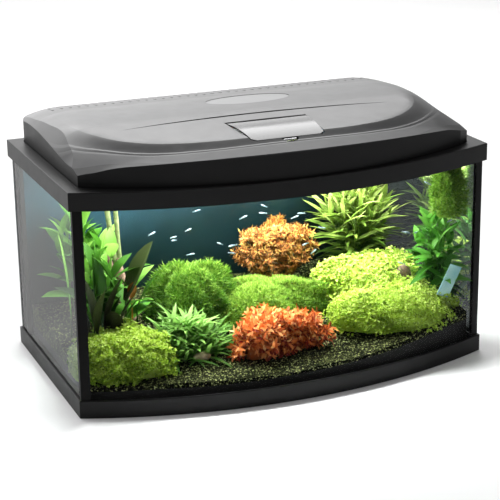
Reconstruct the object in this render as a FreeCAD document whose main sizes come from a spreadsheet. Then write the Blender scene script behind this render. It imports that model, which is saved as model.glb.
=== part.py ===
import FreeCAD, Part

import math
import os

import Sketcher

# Bow-front glass aquarium with a hinged light hood and a feeding flap.
# Frame: origin at the centre of the footprint on the ground, +X to the right,
# +Y to the back, +Z up. Millimetres.

V = FreeCAD.Vector
doc = FreeCAD.newDocument("aquarium")
sheet = doc.addObject("Spreadsheet::Sheet", "Sizes")

DRIVING = {
    # tank
    "width": 600, "side_depth": 310, "bow": 62, "tank_top": 306, "rim_tall": 24,
    "base_tall": 24, "base_inset": 2, "base_wall": 2.7, "rim_wall": 4.5, "rim_flange": 32,
    "edge_round": 1.2,
    "flange_thick": 5, "seat_drop": 2, "ledge_z": 6, "ledge_thick": 4, "ledge_wide": 20,
    "glass_inset": 5, "glass": 5, "floor_glass": 6, "bead": 8, "joint_gap": 0.3, "film": 0.4,
    # bed
    "base_layer": 14, "bed_front": 19, "bed_back": 46,
    # hood outline
    "hood_side_inset": 20, "hood_back_inset": 8, "hood_front_inset": 6, "hood_bow": 64,
    "corner_wide": 18, "corner_deep": 14, "hood_wall": 3, "hood_lip": 7, "hood_lip_thick": 2.5,
    "back_corner": 15, "band_slope": 1.1, "band_lift": 0.8,
    # hood heights above the rim
    "seam_front": 27, "seam_crown": 7, "dome_top": 51, "dome_thick": 2.6, "side_droop": 9,
    "plateau_step": 4.5, "step_back": 60, "step_reach": 202, "step_side": 285,
    # hood details
    "slot_pitch": 12.5, "slot_wide": 2.4, "slot_span": 490, "slot_long": 20, "vent_low": 34,
    "badge_long": 124, "badge_deep": 56, "badge_x": 20, "badge_y": 64, "badge_sunk": 1.4,
    "crease_long": 400, "crease_y": -18, "crease_wide": 5, "crease_sunk": 1.6,
    "notch": 12, "hood_pin": 1.5, "knuckle": 3.4, "hood_hinge_x": 190, "knuckle_long": 12,
    "bracket": 2, "bracket_tall": 16,
    # feeding flap
    "flap_back_wide": 116, "flap_front_wide": 100, "flap_back_y": -48, "flap_front_y": -128,
    "flap_gap": 1.4, "flap_thick": 2.4, "flap_pin": 1.4, "flap_knuckle": 3, "run_gap": 0.05,
    "gland_bore": 3.4, "gland_wall": 1.8, "gland_z": 15,
    "flap_crown": 2.2, "flap_lip": 7,
    # light
    "lamp_long": 440, "lamp_y": 62, "lamp_deep": 92, "lamp_rise": 12, "lamp_tall": 22,
    "tube": 8, "housing_wall": 2, "lens_thick": 2, "socket_long": 14, "socket_half": 11,
    "screw": 1.5, "screw_head": 3, "sheet_thick": 0.6, "sheet_crown": 14,
    "box_long": 150, "box_deep": 34, "box_tall": 20, "box_y": 138,
}
for row, (alias, size) in enumerate(DRIVING.items(), start=1):
    sheet.set(f"A{row}", alias)
    sheet.set(f"B{row}", str(size))
    sheet.setAlias(f"B{row}", alias)
doc.recompute()

# Height of the hood's top along its centre line: distance behind the front tip, and drop
# below the highest point.
DOME_SPINE = [(0, 15.3), (38, 12.3), (70, 10.3), (135, 6.5), (182, 3.4), (231, 1), (271, 0),
              (300, 1.6), (330, 4), (358, 8.5)]
# Seam along the hood's sides: distance behind the front tip, and height above the rim.
SEAM_SIDE = [(0, 27), (64, 25), (95, 20), (130, 18.5), (165, 22), (209, 26.5), (262, 31),
             (310, 31.5), (358, 28)]
# How much of a clump's or a stone's height lies under the gravel.
CLUMP_BURIED = 0.12
STONE_BURIED = 0.3


def n(alias):
    return float(sheet.get(alias))


# Places worked out from the driving sizes, as expressions for the sketches.
DEPTH = "(Sizes.side_depth + Sizes.bow)"
BOW_R = "((Sizes.width / 2)^2 + Sizes.bow^2) / (2 * Sizes.bow)"
BOW_Y = f"({BOW_R} - {DEPTH} / 2)"

# The same places as numbers.
half = n("width") / 2
back = (n("side_depth") + n("bow")) / 2
bow_r = (half ** 2 + n("bow") ** 2) / (2 * n("bow"))
bow_y = bow_r - back
rim = n("tank_top")
seat = rim - n("seat_drop")
floor_z = n("ledge_z") + n("ledge_thick")
pane_z = floor_z + n("floor_glass")
pane_top = rim - n("flange_thick") - n("joint_gap")
inner = n("glass_inset") + n("glass") + n("joint_gap")
lamp_z = rim + n("lamp_rise")


def bow_at(x, inset):
    """Y of the bowed front, moved in by inset, at x."""
    return bow_y - math.sqrt((bow_r - inset) ** 2 - x ** 2)


# ---- sketches ---------------------------------------------------------------

def plane(body, role):
    return next(f for f in body.Origin.OriginFeatures if f.Role == role)


def new_body(label):
    body = doc.addObject("PartDesign::Body", label)
    body.Label = label
    return body


def sketch_on(body, name, height="0"):
    sketch = body.newObject("Sketcher::SketchObject", name)
    sketch.AttachmentSupport = (plane(body, "XY_Plane"), [""])
    sketch.MapMode = "FlatFace"
    sketch.setExpression("AttachmentOffset.Base.z", height)
    return sketch


def bind(sketch, kind, geo, point, name, expression):
    """Tie one coordinate of a sketch point to an expression."""
    start = sketch.getPoint(geo, point)
    now = start.x if kind == "DistanceX" else start.y
    index = sketch.addConstraint(Sketcher.Constraint(kind, -1, 1, geo, point, now))
    sketch.renameConstraint(index, name)
    sketch.setExpression(f"Constraints.{name}", expression)


def bow_loop(sketch, tag, inset):
    """Closed outline of the tank, moved in by inset: three straight sides and the bow."""
    move = float(sketch.evalExpression(inset))
    wide = half - move
    far = back - move
    radius = bow_r - move
    near = bow_at(wide, move)
    angle = math.asin(wide / radius)
    first = sketch.GeometryCount
    sketch.addGeometry(Part.LineSegment(V(-wide, near, 0), V(-wide, far, 0)))
    sketch.addGeometry(Part.LineSegment(V(-wide, far, 0), V(wide, far, 0)))
    sketch.addGeometry(Part.LineSegment(V(wide, far, 0), V(wide, near, 0)))
    circle = Part.Circle(V(0, bow_y, 0), V(0, 0, 1), radius)
    down = -math.pi / 2
    sketch.addGeometry(Part.ArcOfCircle(circle, down - angle, down + angle))
    for corner in range(2):
        sketch.addConstraint(Sketcher.Constraint("Coincident", first + corner, 2,
                                                 first + corner + 1, 1))
    sketch.addConstraint(Sketcher.Constraint("Coincident", first + 2, 2, first + 3, 2))
    sketch.addConstraint(Sketcher.Constraint("Coincident", first, 1, first + 3, 1))
    side = f"(Sizes.width / 2 - ({inset}))"
    reach = f"({BOW_R} - ({inset}))"
    front = f"{BOW_Y} - sqrt({reach}^2 - {side}^2)"
    bind(sketch, "DistanceX", first, 1, tag + "_left", f"-{side}")
    bind(sketch, "DistanceY", first, 1, tag + "_left_front", front)
    bind(sketch, "DistanceX", first, 2, tag + "_left_back", f"-{side}")
    bind(sketch, "DistanceY", first, 2, tag + "_back", f"{DEPTH} / 2 - ({inset})")
    bind(sketch, "DistanceX", first + 2, 1, tag + "_right_back", side)
    bind(sketch, "DistanceY", first + 2, 1, tag + "_back_right", f"{DEPTH} / 2 - ({inset})")
    bind(sketch, "DistanceX", first + 2, 2, tag + "_right", side)
    bind(sketch, "DistanceY", first + 2, 2, tag + "_right_front", front)
    index = sketch.addConstraint(Sketcher.Constraint("Radius", first + 3, radius))
    sketch.renameConstraint(index, tag + "_radius")
    sketch.setExpression(f"Constraints.{tag}_radius", reach)


def pad(body, sketch, length):
    feature = body.newObject("PartDesign::Pad", sketch.Name + "_pad")
    feature.Profile = sketch
    feature.setExpression("Length", length)
    doc.recompute()
    body.Tip = feature
    return feature


def bow_ring(body, name, outer, inside, height, tall):
    """Ring that follows the tank's outline between two insets."""
    sketch = sketch_on(body, name, height)
    bow_loop(sketch, "outer", outer)
    bow_loop(sketch, "inside", inside)
    return pad(body, sketch, tall)


def prism_body(label, corners, height, tall):
    """Upright prism on a polygon whose corners are pairs of expressions."""
    body = new_body(label)
    sketch = sketch_on(body, label + "_plan", height)
    places = [V(float(sketch.evalExpression(x)), float(sketch.evalExpression(y)), 0)
              for x, y in corners]
    count = len(corners)
    for index in range(count):
        sketch.addGeometry(Part.LineSegment(places[index], places[(index + 1) % count]))
    for index in range(count):
        sketch.addConstraint(Sketcher.Constraint("Coincident", index, 2,
                                                 (index + 1) % count, 1))
    for index, (x, y) in enumerate(corners):
        bind(sketch, "DistanceX", index, 1, f"x{index}", x)
        bind(sketch, "DistanceY", index, 1, f"y{index}", y)
    pad(body, sketch, tall)
    return body


def solid(label, shape):
    """Sub-part whose shape comes from the functions below."""
    feature = doc.addObject("Part::Feature", label)
    feature.Label = label
    if shape.ShapeType == "Compound" and len(shape.Solids) == 1:
        shape = shape.Solids[0]
    feature.Shape = shape
    return feature


def round_edges(body, name, height, inset):
    """Rounds the outer edge of a bow ring's top."""
    tip = body.Tip
    top = float(sheet.evalExpression(height))
    outline = bow_wire(float(sheet.evalExpression(inset)))
    outline.translate(V(0, 0, top))
    names = [f"Edge{index}" for index, edge in enumerate(tip.Shape.Edges, start=1)
             if outline.distToShape(Part.Vertex(edge.valueAt(edge.FirstParameter)))[0] < 0.01
             and outline.distToShape(Part.Vertex(edge.valueAt(edge.LastParameter)))[0] < 0.01]
    feature = body.newObject("PartDesign::Fillet", name)
    feature.Base = (tip, names)
    feature.setExpression("Radius", "Sizes.edge_round")
    doc.recompute()
    body.Tip = feature


# ---- shapes -----------------------------------------------------------------

def upright(wire, low, high):
    """Prism on a closed wire drawn at z = 0."""
    face = Part.Face(wire)
    face.translate(V(0, 0, low))
    return face.extrude(V(0, 0, high - low))


def block(x0, x1, y0, y1, z0, z1):
    return Part.makeBox(x1 - x0, y1 - y0, z1 - z0, V(x0, y0, z0))


def rod_x(x0, x1, y, z, radius):
    return Part.makeCylinder(radius, x1 - x0, V(x0, y, z), V(1, 0, 0))


def below(height, drop, x_steps, y_steps, bottom):
    """Solid under a smooth surface z = height(x, y) - drop."""
    rows = [[V(x, y, height(x, y) - drop) for y in y_steps] for x in x_steps]
    surface = Part.BSplineSurface()
    surface.interpolate(rows)
    roof = surface.toShape()
    deep = max(max(p.z for p in row) for row in rows) - bottom
    return roof.extrude(V(0, 0, -deep))


def spread(low, high, count):
    return [low + (high - low) * index / (count - 1) for index in range(count)]


def ease(value):
    """Smooth step from 0 to 1."""
    t = min(1.0, max(0.0, value))
    return t * t * (3 - 2 * t)


def through(knots, value):
    """Smooth curve through (place, height) knots, straight beyond both ends."""
    slopes = [(b[1] - a[1]) / (b[0] - a[0]) for a, b in zip(knots, knots[1:])]
    turns = [slopes[0]] + [(a + b) / 2 for a, b in zip(slopes, slopes[1:])] + [slopes[-1]]
    if value <= knots[0][0]:
        return knots[0][1] + turns[0] * (value - knots[0][0])
    for index in range(len(slopes)):
        (a, low), (b, high) = knots[index:index + 2]
        if value <= b:
            t = (value - a) / (b - a)
            carry = (turns[index] * (1 - t) - turns[index + 1] * t) * (b - a) * t * (1 - t)
            return low + (high - low) * ease(t) + carry
    return knots[-1][1] + turns[-1] * (value - knots[-1][0])


# ---- tank -------------------------------------------------------------------

def build_frames():
    """Bottom frame with its ledge, and the rim with the flange that the hood stands on."""
    base = new_body("bottom_frame")
    inner_edge = "Sizes.base_inset + Sizes.base_wall"
    bow_ring(base, "base_wall_plan", "Sizes.base_inset", inner_edge, "0", "Sizes.base_tall")
    bow_ring(base, "base_ledge_plan", f"{inner_edge} / 2", f"{inner_edge} + Sizes.ledge_wide",
             "Sizes.ledge_z", "Sizes.ledge_thick")
    round_edges(base, "base_round", "Sizes.base_tall", "Sizes.base_inset")
    wall = new_body("rim_wall_ring")
    bow_ring(wall, "rim_wall_plan", "0", "Sizes.rim_wall", "Sizes.tank_top - Sizes.rim_tall",
             "Sizes.rim_tall")
    bow_ring(wall, "rim_flange_plan", "Sizes.rim_wall / 2", "Sizes.rim_flange",
             "Sizes.tank_top - Sizes.flange_thick", "Sizes.flange_thick")
    round_edges(wall, "rim_round", "Sizes.tank_top", "0")
    rim_shape = wall.Shape.cut(upright(hood_wire(1), seat, rim + 1))
    for middle, side in hinge_places():
        for shift in (-1, 1):
            rim_shape = rim_shape.fuse(rim_knuckle(middle + shift * n("knuckle_long")))
        for shift in (-1, 1):
            rim_shape = rim_shape.cut(hinge_bore(middle + shift * n("knuckle_long"), 0))
    top = solid("top_frame", rim_shape.removeSplitter())
    doc.removeObject(wall.Name)
    return base, top


def build_glass():
    """Five panes, black silicone beads in the corners and the film on the back."""
    pane = new_body("bottom_glass")
    sketch = sketch_on(pane, "floor_plan", "Sizes.ledge_z + Sizes.ledge_thick")
    bow_loop(sketch, "edge", "Sizes.glass_inset")
    pad(pane, sketch, "Sizes.floor_glass")
    low = "Sizes.ledge_z + Sizes.ledge_thick + Sizes.floor_glass"
    tall = f"Sizes.tank_top - Sizes.flange_thick - Sizes.joint_gap - ({low})"
    out = "(Sizes.width / 2 - Sizes.glass_inset)"
    within = f"({out} - Sizes.glass)"
    far = f"({DEPTH} / 2 - Sizes.glass_inset)"
    prism_body("back_glass", [(f"-{out}", f"{far} - Sizes.glass"), (out, f"{far} - Sizes.glass"),
                              (out, far), (f"-{out}", far)], low, tall)
    side_far = f"{far} - Sizes.glass - Sizes.joint_gap"
    reach = f"({BOW_R} - Sizes.glass_inset - Sizes.glass - Sizes.joint_gap)"
    for label, sign in (("left_glass", "-"), ("right_glass", "")):
        corners = [(f"{sign}{out}", f"{BOW_Y} - sqrt({reach}^2 - {out}^2)"),
                   (f"{sign}{within}", f"{BOW_Y} - sqrt({reach}^2 - {within}^2)"),
                   (f"{sign}{within}", side_far), (f"{sign}{out}", side_far)]
        prism_body(label, corners, low, tall)
    front = solid("front_glass", bent_pane())
    for label, side, rear in (("bead_front_left", -1, False), ("bead_front_right", 1, False),
                              ("bead_back_left", -1, True), ("bead_back_right", 1, True)):
        solid(label, corner_bead(side, rear))
    prism_body("back_film", [(f"-{out}", far), (out, far), (out, f"{far} + Sizes.film"),
                             (f"-{out}", f"{far} + Sizes.film")],
               "Sizes.base_tall", "Sizes.tank_top - Sizes.rim_tall - Sizes.base_tall")
    return front


def bow_edge(inset, reach):
    """Arc of the bow moved in by inset, between x = -reach and x = reach."""
    side = bow_at(reach, inset)
    return Part.Arc(V(-reach, side, 0), V(0, bow_y - bow_r + inset, 0), V(reach, side, 0)).toShape()


def bent_pane():
    outer = bow_edge(n("glass_inset"), half - n("glass_inset"))
    inside = bow_edge(n("glass_inset") + n("glass"), half - n("glass_inset"))
    ends = [Part.makeLine(outer.Vertexes[i].Point, inside.Vertexes[i].Point) for i in (0, 1)]
    wire = Part.Wire(Part.__sortEdges__([outer, ends[0], inside, ends[1]]))
    return upright(wire, pane_z, pane_top)


def corner_bead(side, rear):
    """Triangular fillet of silicone in one upright corner of the tank."""
    wide = half - inner
    leg = n("bead")
    if rear:
        corner = back - inner
        points = [(wide, corner), (wide - leg, corner), (wide, corner - leg)]
    else:
        inset = inner
        points = [(wide, bow_at(wide, inset)), (wide, bow_at(wide, inset) + leg),
                  (wide - leg, bow_at(wide - leg, inset))]
    corners = [V(side * x, y, 0) for x, y in points]
    return upright(Part.makePolygon(corners + corners[:1]), pane_z, pane_top)


# ---- bed, stones, wood and planting ----------------------------------------

def bow_wire(inset):
    wide = half - inset
    far = back - inset
    near = bow_at(wide, inset)
    lines = [Part.makeLine(V(-wide, near, 0), V(-wide, far, 0)),
             Part.makeLine(V(-wide, far, 0), V(wide, far, 0)),
             Part.makeLine(V(wide, far, 0), V(wide, near, 0))]
    return Part.Wire(Part.__sortEdges__(lines + [bow_edge(inset, wide)]))


def bed_height(x, y):
    """Top of the gravel: low at the front left, banked up to the right and the back."""
    depth = (y + back) / (2 * back)
    bank = n("bed_front") + (n("bed_back") - n("bed_front")) * ease(depth)
    right = 22 * ease((x - 0.1 * half) / (0.9 * half)) * (1 - 0.4 * depth)
    ripple = 1.6 * math.sin(x / 31) + 1.2 * math.sin(x / 17 + y / 23)
    return pane_z + bank + right + ripple


def layer_height(x, y):
    return pane_z + n("base_layer") + 16 * ease(x / half) + 0.8 * math.sin(x / 37 + 1)


def build_bed():
    """Black planting layer on the floor pane and the gravel that covers it."""
    keep = inner + n("bead")
    grid = (spread(-half, half, 25), spread(-back, back, 13))
    plan = bow_wire(keep)
    lower = below(layer_height, 0, *grid, 0)
    upper = below(bed_height, 0, *grid, 0)
    solid("planting_layer", upright(plan, pane_z, rim).common(lower))
    solid("gravel", upright(plan, pane_z, rim).common(upper).cut(lower))
    return below(bed_height, -n("joint_gap"), *grid, 0)


def mound(x, y, rx, ry, low, tall):
    """Rounded clump: the upper part of an ellipsoid."""
    ball = Part.makeSphere(1)
    grow = FreeCAD.Matrix()
    grow.scale(V(rx, ry, tall))
    shape = ball.transformGeometry(grow).common(block(-rx, rx, -ry, ry, 0, tall))
    shape.translate(V(x, y, low))
    return shape


# label: centre x, centre y, half width, half depth, top above the bed
CLUMPS = {
    "carpet_front_left": (-212, -84, 60, 38, 58),
    "lance_plants": (-126, -50, 50, 34, 74),
    "broadleaf_left": (-216, 12, 48, 44, 150),
    "broadleaf_back_left": (-222, 112, 52, 50, 168),
    "moss_left": (-86, 48, 52, 46, 76),
    "red_bush": (-6, -92, 64, 36, 68),
    "moss_centre": (2, 0, 66, 44, 58),
    "orange_bush": (72, 102, 60, 46, 122),
    "carpet_right": (206, 10, 66, 34, 54),
    "carpet_front_right": (190, -68, 90, 46, 48),
    "tall_stems": (206, 96, 60, 50, 158),
    "broadleaf_right": (254, -66, 26, 42, 150),
    "moss_high": (262, -84, 20, 30, 72),
}
MOSS_HIGH_FOOT = 198

STONES = {
    "stone_right": (222, -30, 15, 12, 52),
    "stone_left": (-116, -94, 13, 8, 12),
}


def build_planting(ground):
    """Clumps and stones that stand on the gravel and never share the same space."""
    placed = [ground]
    for share, table in ((STONE_BURIED, STONES), (CLUMP_BURIED, CLUMPS)):
        for label, (x, y, rx, ry, tall) in table.items():
            low = bed_height(x, y) - share * tall
            if label == "moss_high":
                low = MOSS_HIGH_FOOT
            shape = mound(x, y, rx, ry, low, (1 + share) * tall)
            for other in placed:
                if shape.BoundBox.intersect(other.BoundBox):
                    shape = shape.cut(other)
            solid(label, shape)
            placed.append(shape)
    foot = V(-166, 62, bed_height(-166, 62) - 4)
    bend = V(-164, 66, 150)
    tip = V(-176, 70, 226)
    lower = Part.makeCone(9, 6.5, bend.sub(foot).Length, foot, bend.sub(foot))
    upper = Part.makeCone(6.4, 3.5, tip.sub(bend).Length, bend, tip.sub(bend))
    wood = lower.fuse([upper, Part.makeSphere(6.5, bend)]).cut(placed)
    solid("driftwood", wood)


# ---- hood -------------------------------------------------------------------

def hood_wire(grow):
    """Outline of the hood: straight back and sides, cut corners and a bowed front."""
    wide = half - n("hood_side_inset")
    far = back - n("hood_back_inset")
    tip = -back + n("hood_front_inset")
    shoulder = tip + n("hood_bow")
    elbow = wide - n("corner_wide")
    turn = n("back_corner")
    chord = turn * (1 - math.sqrt(0.5))
    side = [V(elbow, shoulder, 0), V(wide, shoulder + n("corner_deep"), 0), V(wide, far - turn, 0)]
    corner = V(wide - chord, far - chord, 0)
    end = V(wide - turn, far, 0)
    edges = [Part.makeLine(V(-end.x, far, 0), end)]
    for sign in (-1, 1):
        places = [V(sign * p.x, p.y, 0) for p in (*side, corner, end)]
        edges += [Part.makeLine(a, b) for a, b in zip(places[:2], places[1:3])]
        edges.append(Part.Arc(*places[2:]).toShape())
    edges.append(Part.Arc(V(-elbow, shoulder, 0), V(0, tip, 0), side[0]).toShape())
    wire = Part.Wire(Part.__sortEdges__(edges))
    return wire.makeOffset2D(grow, 2) if grow else wire


def seam_height(x, y):
    """Seam between skirt and cover: it follows the sides and crowns over the bowed front."""
    wide = half - n("hood_side_inset")
    tip = -back + n("hood_front_inset")
    crown = n("seam_crown") * (1 - min(1, abs(x) / (wide - n("corner_wide"))) ** 2)
    front = n("seam_front") + crown
    side = through(SEAM_SIDE, y - tip)
    return rim + side + (front - side) * ease((tip + n("hood_bow") + 30 - y) / 30)


def side_band(sign):
    """Sloping band between the seam and the dome, along one side of the hood."""
    wide = half - n("hood_side_inset")
    tip = -back + n("hood_front_inset")

    def height(x, y):
        lift = n("band_lift") + n("band_slope") * (wide - sign * x)
        return rim + through(SEAM_SIDE, y - tip) + lift
    return height


def back_band(x, y):
    """The same band along the back edge."""
    far = back - n("hood_back_inset")
    return rim + n("vent_low") + n("band_slope") * (far - y)


def dome_height(x, y):
    """Top of the hood: a shallow dome with a raised plateau behind a bowed step."""
    wide = half - n("hood_side_inset")
    tip = -back + n("hood_front_inset")
    top = n("dome_top")
    spine = top - through(DOME_SPINE, y - tip)
    shoulder = n("side_droop") * max(0, (abs(x) - wide + 55) / 47) ** 2
    droop = min(16, 14 * (max(0, 51 - y) / 163) ** 2) * (x / (wide - n("corner_wide"))) ** 2
    step = n("plateau_step") * ease((110 - y) / 110)
    return rim + spine - droop - shoulder + step * ease((1 - plateau_reach(x, y)) / 0.13)


def plateau_reach(x, y):
    """1 at the foot of the plateau's step, less inside it."""
    across = abs(x) / n("step_side")
    along = max(0, n("step_back") - y) / n("step_reach")
    return (across ** 2.5 + along ** 2.5) ** 0.4


def hood_grid():
    return spread(-half, half, 37), spread(-back - 6, back + 6, 33)


def hinge_axis():
    """Y and Z of the hood's hinge line, behind the hood and above the rim."""
    y = back - n("hood_back_inset") + n("knuckle") + n("joint_gap") + 0.1
    return y, rim + n("knuckle") + 0.6


def hinge_places():
    return [(-n("hood_hinge_x"), -1), (n("hood_hinge_x"), 1)]


def rim_knuckle(x):
    """Knuckle that stands on the rim, with its foot let into the flange."""
    y, z = hinge_axis()
    long = n("knuckle_long") - 2 * n("joint_gap")
    barrel = rod_x(x - long / 2, x + long / 2, y, z, n("knuckle"))
    foot = block(x - long / 2, x + long / 2, y - 1.2, y + n("knuckle"), rim - 1, z)
    return barrel.fuse(foot)


def hinge_bore(x, gap):
    y, z = hinge_axis()
    long = n("knuckle_long")
    return rod_x(x - long, x + long, y, z, n("hood_pin") + gap)


def slots(low, high):
    """Row of vent slots along the back edge."""
    far = back - n("hood_back_inset")
    count = int(n("slot_span") / n("slot_pitch")) + 1
    start = -(count - 1) * n("slot_pitch") / 2
    cuts = []
    for index in range(count):
        x = start + index * n("slot_pitch")
        cuts.append(block(x - n("slot_wide") / 2, x + n("slot_wide") / 2,
                          far - n("slot_long"), far + 1, low, high))
    return Part.makeCompound(cuts)


def hood_block(inset, drop, low):
    """The hood filled in: its outline moved in by inset, its top surfaces lowered by drop."""
    grid = hood_grid()
    shape = upright(hood_wire(-inset), low, rim + 90)
    shape = shape.common(below(dome_height, drop, *grid, 0))
    for band in (side_band(-1), side_band(1), back_band):
        shape = shape.common(below(band, 1.4 * drop, *grid, 0))
    return shape


def hood_shell():
    """Walls and top of the hood before it is parted along the seam."""
    inside = hood_block(n("hood_wall"), n("dome_thick"), seat - 1)
    return hood_block(0, 0, seat).cut(inside)


def build_skirt(shell):
    """Dark lower moulding of the hood: walls and inner lip."""
    wall = shell.common(below(seam_height, 0, *hood_grid(), 0))
    lip = upright(hood_wire(-n("hood_wall") / 2), seat, seat + n("hood_lip_thick"))
    lip = lip.cut(upright(hood_wire(-n("hood_wall") - n("hood_lip")), seat - 1, rim + 1))
    shape = wall.fuse(lip).cut(gland_rod(0.2, -10, 10))
    return solid("hood_skirt", shape.removeSplitter())


def flap_wire(grow):
    """Outline of the feeding flap, narrower at the front, with rounded front corners."""
    rear = n("flap_back_wide") / 2 + grow
    front = n("flap_front_wide") / 2 + grow
    y0 = n("flap_front_y") - grow
    y1 = n("flap_back_y") + grow
    cut = 5
    points = [V(-rear, y1, 0), V(-front - cut * 0.3, y0 + cut, 0), V(-front + cut, y0, 0),
              V(front - cut, y0, 0), V(front + cut * 0.3, y0 + cut, 0), V(rear, y1, 0)]
    return Part.makePolygon(points + points[:1])


def flap_axis():
    """Y and Z of the flap's hinge line."""
    y = n("flap_back_y") - n("flap_knuckle")
    return y, dome_height(0, y) - n("flap_knuckle") - 0.4


def lens_wire():
    """Long lens outline of the styling crease, its tips further forward."""
    reach = n("crease_long") / 2
    y = n("crease_y")
    wide = n("crease_wide")
    bowed = 9
    rear = Part.Arc(V(-reach, y - bowed, 0), V(0, y + wide / 2, 0), V(reach, y - bowed, 0))
    front = Part.Arc(V(reach, y - bowed, 0), V(0, y - wide / 2, 0), V(-reach, y - bowed, 0))
    return Part.Wire([rear.toShape(), front.toShape()])


def badge_oval(grow, low, high):
    place = V(n("badge_x"), n("badge_y"), 0)
    curve = Part.Ellipse(place, n("badge_long") / 2 + grow, n("badge_deep") / 2 + grow)
    return upright(Part.Wire(curve.toShape()), low, high)


def build_cover(shell):
    """Grey upper moulding: dome, plateau, vents, badge recess, crease and flap opening."""
    grid = hood_grid()
    high = rim + 90
    skin = n("dome_thick")
    shape = shell.cut(below(seam_height, 0, *grid, 0))
    for x, y, radius, foot in cover_bosses():
        boss = Part.makeCylinder(radius, high - foot, V(x, y, foot))
        shape = shape.fuse(boss.common(below(dome_height, skin / 2, *grid, 0)))
    shape = shape.cut(slots(rim + n("vent_low"), high))
    badge = badge_oval(0.5, rim, high)
    shape = shape.cut(badge.cut(below(dome_height, n("badge_sunk"), *grid, 0)))
    crease = upright(lens_wire(), rim, high)
    shape = shape.cut(crease.cut(below(dome_height, n("crease_sunk"), *grid, 0)))
    shape = shape.cut(upright(flap_wire(n("flap_gap")), rim, high))
    notch_y = n("flap_front_y") - n("flap_gap")
    shape = shape.cut(Part.makeCylinder(n("notch"), 90, V(0, notch_y, rim)))
    y, z = flap_axis()
    for side in (-1, 1):
        near = n("flap_back_wide") / 2 + n("flap_gap")
        ends = sorted((side * near, side * (near + 5)))
        ear = block(*ends, y - 4, y + 4, z - 4, z + n("flap_knuckle") + 2)
        ear = ear.common(below(dome_height, skin / 2, *grid, 0))
        shape = shape.fuse(ear).cut(rod_x(ends[0] - 1, ends[1] + 1, y, z, n("flap_pin")))
    return solid("hood_cover", shape.cut(gland_rod(0.2, -20, 10)).removeSplitter())


def cover_bosses():
    """Screw bosses inside the dome: x, y, radius and the height of the foot."""
    lamp_top = lamp_z + n("lamp_tall")
    box_top = lamp_z + n("box_tall")
    for side_x in (-1, 1):
        for side_y in (-1, 1):
            yield (side_x * 0.42 * n("lamp_long"),
                   n("lamp_y") + side_y * (n("lamp_deep") / 2 - 8), 5, lamp_top)
        yield side_x * 0.36 * n("box_long"), n("box_y"), 4, box_top


def build_badge():
    """Plain oval plate let into the dome."""
    grid = hood_grid()
    plate = badge_oval(0, rim, rim + 90)
    under = below(dome_height, 0.4, *grid, 0)
    seat_face = below(dome_height, n("badge_sunk") - 0.05, *grid, 0)
    return solid("badge_plate", plate.common(under).cut(seat_face))


def build_hinges():
    """On each side a pin held by the rim, and a bracket on the hood's back that turns on it."""
    y, z = hinge_axis()
    wall = back - n("hood_back_inset")
    for name, (middle, side) in zip(("left", "right"), hinge_places()):
        reach = 1.5 * n("knuckle_long") - n("joint_gap")
        solid(f"hood_pin_{name}", rod_x(middle - reach, middle + reach, y, z, n("hood_pin")))
        half_long = n("knuckle_long") / 2 - n("joint_gap")
        ends = (middle - half_long, middle + half_long)
        plate = block(*ends, wall, wall + n("bracket"), z - 2, z + n("bracket_tall"))
        arm = block(*ends, wall, y, z - 2, z + 2)
        bracket = plate.fuse([arm, rod_x(*ends, y, z, n("knuckle"))])
        solid(f"hood_bracket_{name}", bracket.cut(hinge_bore(middle, n("run_gap"))))


def build_light():
    """Lamp housing, lens, reflector, tube, sockets, ballast box, screws and cable gland."""
    x = n("lamp_long") / 2
    y0 = n("lamp_y") - n("lamp_deep") / 2
    y1 = n("lamp_y") + n("lamp_deep") / 2
    z0 = lamp_z
    z1 = z0 + n("lamp_tall")
    wall = n("housing_wall")
    housing = block(-x, x, y0, y1, z0, z1).cut(
        block(-x + wall, x - wall, y0 + wall, y1 - wall, z0 - 1, z1 - wall))
    screws = []
    for bx, by, radius, foot in cover_bosses():
        if foot == z1:
            housing = housing.cut(Part.makeCylinder(n("screw") + 0.1, 10, V(bx, by, z1 - 5)))
            head = Part.makeCylinder(n("screw_head"), 1.8, V(bx, by, z1 - wall - 1.8))
            shank = Part.makeCylinder(n("screw"), wall, V(bx, by, z1 - wall))
            screws.append(shank.fuse(head))
    solid("lamp_housing", housing)
    solid("lamp_screws", Part.makeCompound(screws))
    solid("lamp_lens", block(-x, x, y0, y1, z0 - n("lens_thick"), z0))
    tube_z = z0 + n("tube") + 1
    end = x - wall - n("socket_long")
    for label, side in (("socket_left", -1), ("socket_right", 1)):
        ends = sorted((side * end, side * (x - wall)))
        sides = (n("lamp_y") - n("socket_half"), n("lamp_y") + n("socket_half"))
        solid(label, block(*ends, *sides, z0 + 0.5, z1 - wall))
    solid("lamp_tube", rod_x(-end, end, n("lamp_y"), tube_z, n("tube")))
    build_reflector(end - 4, y0 + wall + 2, y1 - wall - 2, z0 + 2, z1 - wall - 2.4)
    build_ballast()
    collar = gland_rod(2.2, 0, 5)
    bore = gland_rod(-n("gland_wall"), -12, 12)
    solid("cable_gland", gland_rod(0, -8, 4).fuse(collar).cut(bore))


def gland_rod(grow, start, end):
    """Cylinder on the line of the cable gland, measured from the hood's back face."""
    face = back - n("hood_back_inset")
    radius = n("gland_bore") + n("gland_wall") + grow
    return Part.makeCylinder(radius, end - start, V(0, face + start, rim + n("gland_z")),
                             V(0, 1, 0))


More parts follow.
